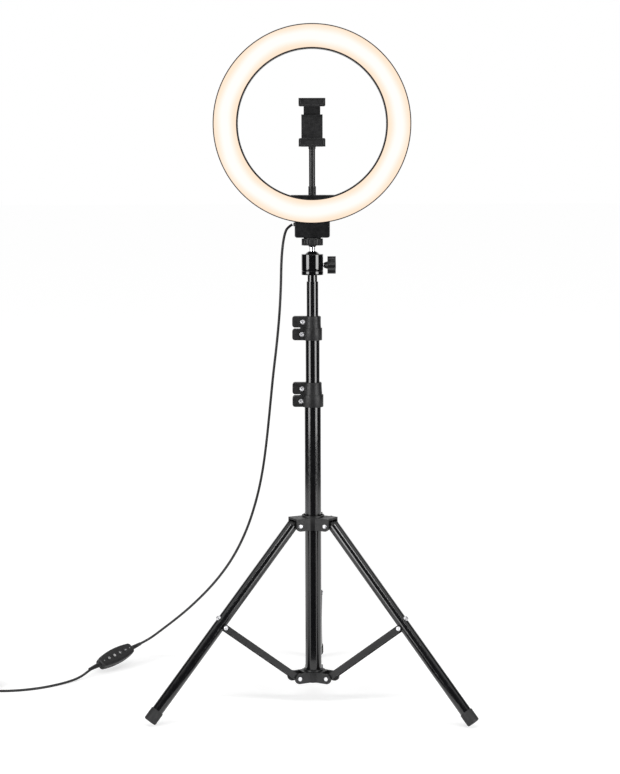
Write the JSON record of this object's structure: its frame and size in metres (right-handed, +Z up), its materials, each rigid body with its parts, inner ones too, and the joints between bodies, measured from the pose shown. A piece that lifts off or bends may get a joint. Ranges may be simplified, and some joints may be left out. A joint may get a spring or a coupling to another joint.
{
  "type": "ring light on a stand",
  "caption": "Ring-shaped lamp on a telescopic folding tripod, with a ball head, a phone clamp inside the ring and a lead with a push-button controller.",
  "frame": {"origin": "on the floor under the column's axis", "axes": "+X is the viewer's right, +Y points away from the viewer, +Z is up; the lamp faces -Y"},
  "size_m": [0.7057, 0.3833, 0.909],
  "materials": {
    "lit_cover": "matt, glowing",
    "black_shell": "satin",
    "grey_plastic": "fine texture",
    "gloss_tube": "gloss",
    "strut_paint": "satin",
    "gloss_black": "gloss",
    "bright_steel": "bright",
    "plated_stem": "polished",
    "brass_insert": "machined",
    "board": "matt",
    "nylon": "matt",
    "boot_rubber": "matt",
    "lead_jacket": "satin",
    "button_plastic": "satin",
    "plug_plastic": "satin"
  },
  "bodies": {
    "stand": {"lower_tube": "gloss_tube", "strut_hub": "grey_plastic", "strut_hub_rivets": "bright_steel", "lower_collar": "grey_plastic", "lower_collar_bolts": "bright_steel", "lower_collar_nuts": "bright_steel", "cable_tube": "lead_jacket", "cable_coil": "lead_jacket", "usb_plug": "plug_plastic", "controller_front": "grey_plastic", "controller_back": "grey_plastic"},
    "middle_section": {"middle_tube": "gloss_tube", "middle_tube_bush": "nylon", "upper_collar": "grey_plastic", "upper_collar_bolts": "bright_steel", "upper_collar_nuts": "bright_steel"},
    "upper_section": {"upper_tube": "gloss_tube", "upper_tube_bush": "nylon", "top_spigot": "gloss_black", "ball_head_housing": "gloss_black", "ball_lock_screw": "bright_steel"},
    "lower_lever": {"lower_cam_lever": "grey_plastic"},
    "upper_lever": {"upper_cam_lever": "grey_plastic"},
    "ball_seat": {"ball_cup": "nylon"},
    "ball_stem": {"head_ball": "gloss_black", "stem_stud": "plated_stem"},
    "lamp": {"base_block": "black_shell", "thread_insert": "brass_insert", "cable_gland": "lead_jacket", "ring_shell": "black_shell", "ring_diffuser": "lit_cover", "led_board": "board", "ring_screws": "bright_steel"},
    "wheel": {"lock_wheel": "grey_plastic"},
    "ball_knob": {"ball_lock_knob": "grey_plastic"},
    "hub": {"leg_hub": "grey_plastic", "hub_rivets": "bright_steel"},
    "hub_knob": {"hub_lock_knob": "grey_plastic"},
    "phone_mount": {"phone_rod": "black_shell", "clamp_body": "grey_plastic"},
    "phone_jaw": {"clamp_upper_jaw": "grey_plastic"},
    "leg_rear": {"leg_tube_rear": "gloss_tube", "leg_plug_rear": "grey_plastic", "foot_boot_rear": "boot_rubber", "leg_rivets_rear": "bright_steel"},
    "brace_rear": {"strut_rear": "strut_paint"},
    "leg_left": {"leg_tube_left": "gloss_tube", "leg_plug_left": "grey_plastic", "foot_boot_left": "boot_rubber", "leg_rivets_left": "bright_steel"},
    "brace_left": {"strut_left": "strut_paint"},
    "leg_right": {"leg_tube_right": "gloss_tube", "leg_plug_right": "grey_plastic", "foot_boot_right": "boot_rubber", "leg_rivets_right": "bright_steel"},
    "brace_right": {"strut_right": "strut_paint"},
    "key_power": {"button_power": "button_plastic"},
    "key_colour": {"button_colour": "button_plastic"},
    "key_brighter": {"button_brighter": "button_plastic"},
    "key_dimmer": {"button_dimmer": "button_plastic"}
  },
  "joints": [
    {"name": "middle_slide", "type": "slide", "parent": "stand", "child": "middle_section", "axis": [0, 0, 1], "range_m": [-0.05, 0.22]},
    {"name": "upper_slide", "type": "slide", "parent": "middle_section", "child": "upper_section", "axis": [0, 0, 1], "range_m": [-0.035, 0.24]},
    {"name": "lower_lever_turn", "type": "hinge", "parent": "stand", "child": "lower_lever", "pos_m": [-0.0142, 0.0102, 0.4292], "axis": [0, 0, 1], "range_deg": [0, 110]},
    {"name": "upper_lever_turn", "type": "hinge", "parent": "middle_section", "child": "upper_lever", "pos_m": [-0.013, 0.0102, 0.5184], "axis": [0, 0, 1], "range_deg": [0, 110]},
    {"name": "ball_pan", "type": "hinge", "parent": "upper_section", "child": "ball_seat", "pos_m": [0, 0, 0.601], "axis": [0, 0, 1], "continuous": true},
    {"name": "ball_tilt", "type": "hinge", "parent": "ball_seat", "child": "ball_stem", "pos_m": [0, 0, 0.601], "axis": [1, 0, 0], "range_deg": [-28, 28]},
    {"name": "lamp_turn", "type": "hinge", "parent": "ball_stem", "child": "lamp", "pos_m": [0, 0, 0.64], "axis": [0, 0, 1], "continuous": true},
    {"name": "lock_wheel_turn", "type": "hinge", "parent": "ball_stem", "child": "wheel", "pos_m": [0, 0, 0.6243], "axis": [0, 0, 1], "continuous": true},
    {"name": "ball_knob_turn", "type": "hinge", "parent": "upper_section", "child": "ball_knob", "pos_m": [0.02, 0, 0.5936], "axis": [1, 0, 0], "continuous": true},
    {"name": "hub_knob_turn", "type": "hinge", "parent": "hub", "child": "hub_knob", "pos_m": [0.01758, 0.00954, 0.2463], "axis": [0.8788, 0.4772, 0], "continuous": true},
    {"name": "phone_mount_turn", "type": "hinge", "parent": "lamp", "child": "phone_mount", "pos_m": [0, 0, 0.69], "axis": [0, 0, 1], "continuous": true},
    {"name": "phone_jaw_slide", "type": "slide", "parent": "phone_mount", "child": "phone_jaw", "axis": [0, 0, 1], "range_m": [0, 0.025], "stiffness_N_per_m": 150, "springref_m": -0.01},
    {"name": "rear_brace_fold", "type": "hinge", "parent": "stand", "child": "brace_rear", "pos_m": [0.00071, 0.02699, 0.038], "axis": [0.9997, -0.0262, 0], "range_deg": [0, 52]},
    {"name": "left_brace_fold", "type": "hinge", "parent": "stand", "child": "brace_left", "pos_m": [-0.02373, -0.01288, 0.038], "axis": [-0.4772, 0.8788, 0], "range_deg": [0, 52]},
    {"name": "right_brace_fold", "type": "hinge", "parent": "stand", "child": "brace_right", "pos_m": [0.02302, -0.01411, 0.038], "axis": [-0.5225, -0.8526, 0], "range_deg": [0, 52]},
    {"name": "rear_leg_fold", "type": "hinge", "parent": "brace_rear", "child": "leg_rear", "pos_m": [0.00356, 0.13592, 0.12066], "axis": [0.9997, -0.0262, 0], "range_deg": [-92, 0]},
    {"name": "left_leg_fold", "type": "hinge", "parent": "brace_left", "child": "leg_left", "pos_m": [-0.11949, -0.06488, 0.12066], "axis": [-0.4772, 0.8788, 0], "range_deg": [-92, 0]},
    {"name": "right_leg_fold", "type": "hinge", "parent": "brace_right", "child": "leg_right", "pos_m": [0.11593, -0.07104, 0.12066], "axis": [-0.5225, -0.8526, 0], "range_deg": [-92, 0]},
    {"name": "hub_fold", "type": "hinge", "parent": "leg_rear", "child": "hub", "pos_m": [0.00066, 0.02519, 0.2463], "axis": [0.9997, -0.0262, 0], "range_deg": [0, 40]},
    {"name": "power_press", "type": "slide", "parent": "stand", "child": "key_power", "axis": [-0.5059, 0.504, -0.7], "range_m": [0, 0.0008], "stiffness_N_per_m": 400},
    {"name": "colour_press", "type": "slide", "parent": "stand", "child": "key_colour", "axis": [-0.5059, 0.504, -0.7], "range_m": [0, 0.0008], "stiffness_N_per_m": 400},
    {"name": "brighter_press", "type": "slide", "parent": "stand", "child": "key_brighter", "axis": [-0.5059, 0.504, -0.7], "range_m": [0, 0.0008], "stiffness_N_per_m": 400},
    {"name": "dimmer_press", "type": "slide", "parent": "stand", "child": "key_dimmer", "axis": [-0.5059, 0.504, -0.7], "range_m": [0, 0.0008], "stiffness_N_per_m": 400}
  ],
  "couplings": [
    {"joint": "left_brace_fold", "follows": "rear_brace_fold", "ratio": 1},
    {"joint": "right_brace_fold", "follows": "rear_brace_fold", "ratio": 1},
    {"joint": "rear_leg_fold", "follows": "rear_brace_fold", "ratio": -1.7603},
    {"joint": "left_leg_fold", "follows": "rear_brace_fold", "ratio": -1.7603},
    {"joint": "right_leg_fold", "follows": "rear_brace_fold", "ratio": -1.7603},
    {"joint": "hub_fold", "follows": "rear_brace_fold", "ratio": 0.76027}
  ]
}
